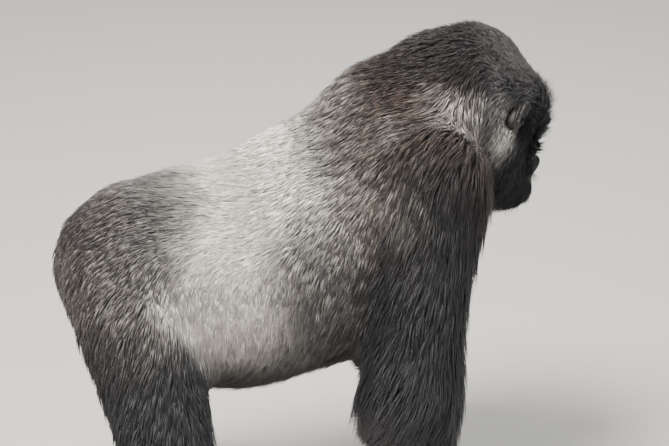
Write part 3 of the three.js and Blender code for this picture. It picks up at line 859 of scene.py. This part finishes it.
def scattered(mesh, fields, rng):
    """Roots spread over the skin, as many to an area as their tufts need, with the fields at each."""
    mesh.calc_loop_triangles()
    corners = np.empty(len(mesh.loop_triangles) * 3, np.int32)
    mesh.loop_triangles.foreach_get("vertices", corners)
    corners = corners.reshape(-1, 3)
    points = vectors_of(mesh)
    a, b, c = (points[corners[:, k]] for k in range(3))
    area = np.linalg.norm(np.cross(b - a, c - a), axis=1) / 2
    length = np.maximum(fields["length"], SHORTEST)
    need = fields["cover"] * fields["amount"] / (0.5 * length * fields["width"])
    total = np.cumsum(area * need[corners].mean(1))
    count = int(total[-1])
    picks = np.searchsorted(total, (np.arange(count) + rng.random(count)) * total[-1] / count)
    picks = np.minimum(picks, len(total) - 1)
    u, v = rng.random(count), rng.random(count)
    over = u + v > 1
    u[over], v[over] = 1 - u[over], 1 - v[over]
    weights = np.stack([1 - u - v, u, v], 1)
    chosen = corners[picks]
    mix = lambda values: np.einsum("ij,ij...->i...", weights, values[chosen])
    roots = {key: mix(values) for key, values in fields.items() if key != "kinds"}
    roots["kinds"] = fields["kinds"][chosen[:, 0]]
    roots["place"] = mix(points)
    return roots


def locks(roots, rng):
    """For each root, the root that leads its lock."""
    count = len(roots["place"])
    leaders = rng.choice(count, count // TUFTS_TO_A_LOCK, replace=False)
    tree = KDTree(len(leaders))
    for i, place in enumerate(roots["place"][leaders].tolist()):
        tree.insert(place, i)
    tree.balance()
    nearest = [tree.find(place)[1] for place in roots["place"].tolist()]
    return leaders[np.array(nearest)]


def hugging(points, height, hug, tree):
    """Points drawn towards their own height over the skin."""
    found = [tree.find_nearest(point) for point in points.tolist()]
    near = np.array([hit[0] for hit in found])
    out = np.array([hit[1] for hit in found])
    target = near + out * height[:, None]
    return points + (target - points) * hug[:, None]


def tuft_curves(roots, leader, tree, rng):
    """The middle of each tuft at its rings and its tip."""
    place, out = roots["place"], unit(roots["out"])
    count = len(place)
    loose = 0.20 * noise3(place, 0.05, 31) + 0.16 * noise3(place, 0.016, 32)
    loose = loose + 0.10 * rng.standard_normal((count, 3))
    way = flat(roots["way"] + loose, out)
    length = roots["length"] * (0.72 + 0.5 * rng.random(count))
    proud = 0.65 + 0.5 * rng.random(count)[leader]  # some locks lie higher than others
    height = roots["height"] * proud * (0.2 + 0.8 * rng.random(count))
    middles = [place - out * SUNK]
    steps = BENT["at"][1:] + [1.0]
    for t in steps:
        there = place + way * (length * t)[:, None]
        there[:, 2] -= SAG * length * t * t
        risen = height * math.sin(t * math.pi / 2)
        there = there + out * risen[:, None]
        middles.append(hugging(there, risen, roots["hug"] * t, tree))
    tip_way = middles[-1][leader] - place[leader]
    gather = 0.15 + 0.4 * rng.random(count)
    drawn = (place[leader] + tip_way - middles[-1]) * gather[:, None]
    for k, t in enumerate(steps):
        middles[k + 1] = middles[k + 1] + drawn * t * t
    return middles, way, out


def spikes(middles, way, out, width, style):
    """Closed three-sided spikes: their points and their triangles."""
    side = unit(np.cross(out, way))
    rings = []
    for centre, share in zip(middles, style["widths"]):
        half = side * (width * share / 2)[:, None]
        rings += [centre - half, centre + half, centre + out * (width * share * ROUNDNESS)[:, None]]
    points = np.stack(rings + [middles[-1]], 1)
    tip = 3 * len(style["at"])
    faces = [(0, 2, 1)]
    for k in range(len(style["at"])):
        for p, q in ((0, 1), (1, 2), (2, 0)):
            p, q = 3 * k + p, 3 * k + q
            faces += [(p, q, tip)] if 3 * k + 3 == tip else [(p, q, q + 3), (p, q + 3, p + 3)]
    count = len(points)
    triangles = (np.arange(count) * (tip + 1))[:, None, None] + np.array(faces)
    return points.reshape(-1, 3), triangles.reshape(-1, 3)


def unwrapped(region, places):
    """Places of the skin on a flat map: round the body or the limb by its length."""
    x, y, z = places.T
    if region == "head":
        local = in_head(places)
        around, along = np.arctan2(local[:, 1], local[:, 0] + 10), local[:, 2]
    elif region in ("arm", "leg"):
        lines = [np.polyfit(z, values, 1) for values in (x, y)]
        around = np.arctan2(y - np.polyval(lines[1], z), x - np.polyval(lines[0], z))
        along = z
    else:
        line = np.polyfit(x, z, 1)
        around, along = np.arctan2(np.abs(y), z - np.polyval(line, x)), x
    scaled = [(v - v.min()) / (np.ptp(v) + 1e-9) for v in (around, along)]
    return 0.01 + 0.98 * np.stack(scaled, 1)


PATCH = 0.003  # side of a tuft's spot on the flat map
GRIZZLE = {"head": 0.9, "neck": 0.7}  # how much the silver differs from tuft to tuft


def coat_piece(name, region, picked, roots, curves, chances):
    """The chosen tufts as one object, with its flat map and markings."""
    middles, way, out = curves
    style = STYLES.get(region, BENT)
    rings = style["at"]
    used = [centres[picked] for centres in middles[: len(rings)] + middles[-1:]]
    points, triangles = spikes(used, way[picked], out[picked], roots["width"][picked], style)
    made = triangles_object(name, points, triangles)
    corners = 3 * len(rings) + 1
    across = np.array([-0.5, 0.5, 0.0] * len(rings) + [0.0])
    along = np.append(np.repeat(rings, 3), 1.0)
    spot = unwrapped(region, roots["place"][picked])
    patch = spot[:, None] + PATCH * np.stack([across, along - 0.5], 1)
    layer = made.data.uv_layers.new(name="OFBake")
    layer.data.foreach_set("uv", patch.reshape(-1, 2)[triangles.ravel()].astype(np.float32).ravel())
    set_attribute(made.data, "along", np.tile(along, len(spot)))
    marks = {key: roots[key][picked] for key in MARKS}
    grizzle = GRIZZLE.get(region, 0) * (chances["chance"][picked] - 0.5)
    marks["silver"] = np.clip(marks["silver"] * (1 + grizzle), 0, 1)
    marks.update({key: values[picked] for key, values in chances.items()})
    for key, values in marks.items():
        set_attribute(made.data, key, np.repeat(values, corners))
    return made


def coat(mesh, fields):
    """The whole coat, in one piece for each side of each region."""
    rng = np.random.default_rng(SEED)
    roots = scattered(mesh, fields, rng)
    place = roots["place"]
    leader = locks(roots, rng)
    corners = [tuple(face.vertices) for face in mesh.polygons]
    off_ears = [face for face in corners if fields["ear"][face[0]] < 0.5]
    tree = BVHTree.FromPolygons(vectors_of(mesh).tolist(), off_ears)
    curves = tuft_curves(roots, leader, tree, rng)
    count = len(leader)
    chances = {"chance": rng.random(count), "lock": rng.random(count)[leader]}
    roots["width"] = roots["width"] * (0.65 + 1.1 * rng.random(count) ** 3)
    pieces = []
    behind = place[:, 0] < RUMP
    for region, kinds in REGIONS.items():
        inside = np.isin(roots["kinds"], kinds)
        inside &= {"flank": ~behind, "rump": behind}.get(region, True)
        across = (in_head(place) if region == "head" else place)[:, 1]
        for side, sign in SIDES.items():
            picked = np.flatnonzero(inside & (across * sign > 0))
            made = coat_piece(f"coat_{region}_{side}", region, picked, roots, curves, chances)
            pieces.append((region, made))
    return pieces


# ---- eyes and nails
def globe(rings, sides):
    """A unit sphere's points and faces, with its poles on X."""
    tilt = np.pi * np.arange(1, rings) / rings
    turn = 2 * np.pi * np.arange(sides) / sides
    t, a = np.meshgrid(tilt, turn, indexing="ij")
    belt = np.stack([np.cos(t), np.sin(t) * np.cos(a), np.sin(t) * np.sin(a)], -1).reshape(-1, 3)
    points = np.concatenate([[[1, 0, 0]], belt, [[-1, 0, 0]]])
    spot = lambda i, j: 1 + i * sides + j % sides
    faces = [(0, spot(0, j), spot(0, j + 1)) for j in range(sides)]
    for i in range(rings - 2):
        faces += [(spot(i, j), spot(i + 1, j), spot(i + 1, j + 1), spot(i, j + 1)) for j in range(sides)]
    last = len(points) - 1
    faces += [(last, spot(rings - 2, j + 1), spot(rings - 2, j)) for j in range(sides)]
    return points, faces


IRIS = 6.2  # radius in the head's millimetres
CORNEA = 0.9  # how far the clear front stands out of the ball
CORNEA_EDGE = 1.05  # its radius against the iris's
GAZE = (-3, 4)  # degrees the eyes look down, and towards the nose


def eyeball(side):
    """An eye under its lids: a ball with a bulge at the front, and each point's distance from the pupil."""
    points, faces = globe(40, 48)
    out = np.linalg.norm(points[:, 1:], axis=1) * EYEBALL / IRIS
    out = np.where(points[:, 0] > 0, out, 9)
    bulge = CORNEA / EYEBALL * np.clip(1 - np.square(out / CORNEA_EDGE), 0, 1)
    points = points * (1 + bulge[:, None])
    points = points @ turned(np.eye(3), (0, -GAZE[0], -SIDES[side] * GAZE[1])).T
    centre = EYE_DEEP * [1, SIDES[side], 1]
    made = smoothed(new_object(f"eyeball_{side}", from_head(points * EYEBALL + centre), faces))
    set_attribute(made.data, "ring", out)
    return made


NAILS = [f"nail_{digit}_{side}" for digit in DIGITS for side in SIDES]
SQUARENESS = 2.6  # of a nail's outline: 2 would be an ellipse


def nail_plate(node):
    """A curved plate where the frame has a nail, in the way that nail lies."""
    corners = vectors_of(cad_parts[node].data)
    centre = corners.mean(0)
    up, across, along = np.linalg.eigh(np.cov((corners - centre).T))[1].T
    thick, wide, long = (np.ptp((corners - centre) @ axis) / 2 for axis in (up, across, along))
    if (centre - middle(node[len("nail_"):])) @ up < 0:
        up = -up
    points, faces = globe(12, 20)
    x, y, z = points.T
    reach = np.abs(x) ** SQUARENESS + np.abs(y) ** SQUARENESS
    square = np.maximum(reach, 1e-9) ** (-1 / SQUARENESS) * np.hypot(x, y)
    x, y = x * square, y * square
    z = z * 0.9 * MM - 0.28 * wide * y * y - 0.10 * long * x * x
    made = centre + np.outer(x * long * 1.04, along) + np.outer(y * wide * 1.04, across)
    made = made + np.outer(z + 0.35 * thick, up)
    flipped = np.cross(along, across) @ up < 0
    return made, [face[::-1] for face in faces] if flipped else faces


def nails():
    """All the nails in one piece."""
    points, faces = [], []
    for node in NAILS:
        plate, plate_faces = nail_plate(node)
        start = sum(len(one) for one in points)
        points.append(plate)
        faces += [tuple(i + start for i in face) for face in plate_faces]
    return smoothed(new_object("nails", np.concatenate(points), faces))


# ---- materials
class Paint:
    """A material and a short way to add nodes to it."""

    def __init__(self, name, **constants):
        self.material = bpy.data.materials.new(name)
        self.material.use_nodes = True
        self.tree = self.material.node_tree
        self.shader = self.tree.nodes["Principled BSDF"]
        for socket, value in constants.items():
            self.shader.inputs[socket.replace("_", " ")].default_value = value

    def node(self, kind, settings=None, **inputs):
        made = self.tree.nodes.new(kind)
        for key, value in (settings or {}).items():
            setattr(made, key, value)
        for key, value in inputs.items():
            socket = made.inputs[int(key[1:])] if key[0] == "i" and key[1:].isdigit() else made.inputs[key]
            self.put(value, socket)
        return made

    def put(self, value, socket):
        if isinstance(value, bpy.types.NodeSocket):
            self.tree.links.new(value, socket)
        else:
            socket.default_value = value

    def attribute(self, name):
        return self.node("ShaderNodeAttribute", {"attribute_name": name}).outputs["Fac"]

    def place(self):
        return self.node("ShaderNodeTexCoord").outputs["Object"]

    def noise(self, scale, detail=3.0):
        settings = {"noise_dimensions": "3D"}
        made = self.node("ShaderNodeTexNoise", settings, Scale=scale, Detail=detail, Vector=self.place())
        return made.outputs["Fac"]

    def math(self, operation, a, b=0.0, c=0.0, clamp=False):
        settings = {"operation": operation, "use_clamp": clamp}
        return self.node("ShaderNodeMath", settings, i0=a, i1=b, i2=c).outputs[0]

    def times(self, a, b):
        return self.math("MULTIPLY", a, b)

    def added(self, a, share, to):
        return self.math("MULTIPLY_ADD", a, share, to)

    def spread(self, value, low, high, to_low=0.0, to_high=1.0):
        inputs = {"i0": value, "i1": low, "i2": high, "i3": to_low, "i4": to_high}
        return self.node("ShaderNodeMapRange", {"interpolation_type": "SMOOTHSTEP"}, **inputs).outputs[0]

    def mix(self, share, a, b, blend="MIX"):
        settings = {"data_type": "RGBA", "blend_type": blend}
        return self.node("ShaderNodeMix", settings, i0=share, i6=a, i7=b).outputs[2]

    def mottled(self, pattern, low, high, a, b):
        """Colour a where a pattern is low and colour b where it is high."""
        return self.mix(self.spread(pattern, low, high), a, b)

    def bump(self, height, strength, distance, under=None):
        inputs = {"Strength": strength, "Distance": distance, "Height": height}
        if under is not None:
            inputs["Normal"] = under
        return self.node("ShaderNodeBump", **inputs).outputs["Normal"]

    def finished(self, colour, normal=None):
        """The material, with its colour and its bumps on the shader."""
        self.put(colour, self.shader.inputs["Base Color"])
        if normal is not None:
            self.put(normal, self.shader.inputs["Normal"])
        return self.material


def rgb(r, g, b):
    return (r, g, b, 1.0)


# The hair is painted darker at its roots than at its tips, as shade under the coat; the black hair's
# blue-grey tips are partly a painted sheen.
BLACK_HAIR, GREY_TIPS_AND_SHEEN, BROWN = rgb(0.010, 0.010, 0.011), rgb(0.046, 0.046, 0.054), rgb(0.080, 0.046, 0.030)
SILVER, SHADED_SILVER_ROOTS = rgb(0.86, 0.81, 0.75), rgb(0.46, 0.41, 0.36)
# the third is painted shade for the cracks of the bare skin
SKIN, GREY_SKIN, CREASE_SHADE = rgb(0.018, 0.016, 0.017), rgb(0.042, 0.038, 0.039), rgb(0.014, 0.013, 0.013)
PUPIL, IRIS_EDGE = rgb(0.002, 0.002, 0.002), rgb(0.020, 0.010, 0.006)
IRIS_BROWN, IRIS_AMBER = rgb(0.060, 0.022, 0.008), rgb(0.17, 0.070, 0.024)
EYE_BROWN, EYE_PALE = rgb(0.020, 0.012, 0.009), rgb(0.060, 0.040, 0.030)  # the ball round the iris
NAIL_BLACK, NAIL_BROWN = rgb(0.016, 0.012, 0.011), rgb(0.060, 0.047, 0.040)


def hair_colour(paint, along, chance, fine):
    """The colour of the hair from its markings: black, brown-black and silver, painted darker at the roots
    as shade and with a painted sheen on the black hair's tips.
    """
    silver, warm, deep = (paint.attribute(name) for name in MARKS)
    loose = paint.added(paint.math("SUBTRACT", fine, 0.5), 0.36, silver)
    loose = paint.added(paint.math("SUBTRACT", chance, 0.5), 0.16, loose)
    loose = paint.math("MULTIPLY", loose, 1.1, clamp=True)
    silvered = paint.math("POWER", paint.times(loose, paint.spread(silver, 0.0, 0.12)), 1.35)
    # painted shade at the roots and a painted bluish sheen at the tips of the black hair
    dark = paint.mottled(along, 0.1, 1.0, BLACK_HAIR, GREY_TIPS_AND_SHEEN)
    browned = paint.times(warm, paint.spread(along, 0.0, 0.8, 0.25, 1.0))
    dark = paint.mix(paint.times(browned, paint.spread(fine, 0.3, 0.7, 0.35, 1.0)), dark, BROWN)
    dark = paint.mix(paint.times(deep, 0.8), dark, BLACK_HAIR)
    # painted shade: the silver is duller at the roots
    whole = paint.mix(silvered, dark, paint.mottled(along, 0.0, 0.5, SHADED_SILVER_ROOTS, SILVER))
    level = paint.added(chance, 0.85, 0.56)
    grey = paint.node("ShaderNodeCombineColor", i0=level, i1=level, i2=level).outputs[0]
    return paint.mix(1.0, whole, grey, "MULTIPLY")


def coat_material():
    paint = Paint("fur", Roughness=0.52, Specular_IOR_Level=0.36, Sheen_Weight=0.1, Sheen_Roughness=0.4)
    fine = paint.noise(70.0, 4.0)
    chance = paint.added(paint.attribute("lock"), 0.5, paint.times(paint.attribute("chance"), 0.5))
    colour = hair_colour(paint, paint.attribute("along"), chance, fine)
    return paint.finished(colour, paint.bump(paint.noise(900.0, 2.0), 0.25, 0.0006))


def skin_material():
    paint = Paint("skin", Roughness=0.5, Specular_IOR_Level=0.4)
    # the skin under the hair takes the hair's root colour, with its painted shade
    under_hair = hair_colour(paint, 0.15, paint.noise(300.0), paint.noise(70.0, 4.0))
    bare = paint.mottled(paint.noise(34.0, 5.0), 0.35, 0.7, SKIN, GREY_SKIN)
    settings = {"feature": "DISTANCE_TO_EDGE"}
    cracks = paint.node("ShaderNodeTexVoronoi", settings, Vector=paint.place(), Scale=330.0)
    cells = paint.spread(cracks.outputs["Distance"], 0.0, 0.16)
    # painted shade: the bare skin is darker in its cracks
    bare = paint.mix(paint.times(cells, 0.5), CREASE_SHADE, bare)
    haired = paint.attribute("haired")
    lines = paint.bump(cells, paint.spread(haired, 0.0, 1.0, 0.28, 0.0), 0.0008)
    grain = paint.bump(paint.noise(420.0), 0.35, 0.0007, lines)
    return paint.finished(paint.mix(haired, bare, under_hair), grain)


def eye_material():
    paint = Paint("eye", Roughness=0.1, Specular_IOR_Level=0.5)
    ring = paint.attribute("ring")
    iris = paint.mottled(paint.noise(1400.0, 4.0), 0.3, 0.7, IRIS_BROWN, IRIS_AMBER)
    iris = paint.mottled(ring, 0.62, 0.98, iris, IRIS_EDGE)
    white = paint.mottled(paint.noise(500.0), 0.3, 0.7, EYE_BROWN, EYE_PALE)
    seen = paint.mottled(ring, 0.96, 1.10, iris, white)
    return paint.finished(paint.mottled(ring, 0.36, 0.43, PUPIL, seen))


def nail_material():
    paint = Paint("nail", Roughness=0.45, Specular_IOR_Level=0.5)
    streaks = paint.noise(260.0, 4.0)
    colour = paint.mottled(streaks, 0.35, 0.7, NAIL_BLACK, NAIL_BROWN)
    return paint.finished(colour, paint.bump(streaks, 0.2, 0.0004))


# ---- putting it on
points = vectors_of(skin.data)
net = Net(skin.data)
fields = coat_fields(points, vectors_of(skin.data, "normal"), net, node_finder(BODY))
for key in MARKS:
    set_attribute(skin.data, key, fields[key])
set_attribute(skin.data, "haired", net.spread(fields["amount"], 2))
skin.data.materials.clear()
skin.data.materials.append(skin_material())
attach(skin, "root")
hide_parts(*FLESH)

paint = eye_material()
for side in SIDES:
    eye = eyeball(side)
    eye.data.materials.append(paint)
    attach(eye, "root")
    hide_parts(f"eye_{side}")

plates = nails()
plates.data.materials.append(nail_material())
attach(plates, "root")
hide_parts(*NAILS)

fur = coat_material()
for region, piece in coat(skin.data, fields):
    piece.data.materials.append(fur)
    covered = [name for name in FLESH if kind_of(name) in REGIONS[region]]
    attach(piece, "root")
    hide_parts(*covered)


# ---- floor, lights and camera
FLOOR_SIDE = 30


def floor():
    corners = np.array([(-1, -1, 0), (1, -1, 0), (1, 1, 0), (-1, 1, 0)], float) * FLOOR_SIDE
    made = new_object("floor", corners, [(0, 1, 2, 3)])
    made.data.materials.append(Paint("floor", Base_Color=rgb(0.62, 0.60, 0.57), Roughness=0.85).material)


def aimed(made, place, target):
    """The object, put in a place and turned towards a target."""
    made.location = place
    made.rotation_euler = (target - place).to_track_quat("-Z", "Y").to_euler()
    return made


def lamp(name, place, target, size, watts, colour):
    light = bpy.data.lights.new(name, "AREA")
    light.shape = "DISK"
    light.size = size
    light.energy = watts
    light.color = colour
    aimed(linked(name, light), place, target)


def direction(azimuth, elevation):
    """The way towards a viewer: azimuth 0 is -Y, and 90 is +X."""
    a, e = math.radians(azimuth), math.radians(elevation)
    return Vector((math.sin(a) * math.cos(e), -math.cos(a) * math.cos(e), math.sin(e)))


LOOK_AT = Vector((0.0808, -0.0474, 0.725))
CAMERA_AZIMUTH, CAMERA_ELEVATION, CAMERA_DISTANCE = -14, 22, 6.0
LENS, SENSOR = 171.1, 36

floor()
centre = Vector((0, 0, 0.55))
lamp("key", centre + 4.2 * direction(-40, 62), centre, 1.6, 510, (1.0, 0.965, 0.91))
lamp("fill", centre + 5.0 * direction(25, 25), centre, 3.5, 90, (0.86, 0.92, 1.0))
lamp("rim", centre + 4.5 * direction(165, 50), centre, 2.0, 140, (1.0, 0.98, 0.95))
world = bpy.data.worlds.new("studio")
world.use_nodes = True
world.node_tree.nodes["Background"].inputs["Color"].default_value = (0.80, 0.84, 0.90, 1)
world.node_tree.nodes["Background"].inputs["Strength"].default_value = 0.35
bpy.context.scene.world = world

camera_data = bpy.data.cameras.new("camera")
camera_data.lens = LENS
camera_data.sensor_width = SENSOR
camera_place = LOOK_AT + CAMERA_DISTANCE * direction(CAMERA_AZIMUTH, CAMERA_ELEVATION)
bpy.context.scene.camera = aimed(linked("camera", camera_data), camera_place, LOOK_AT)
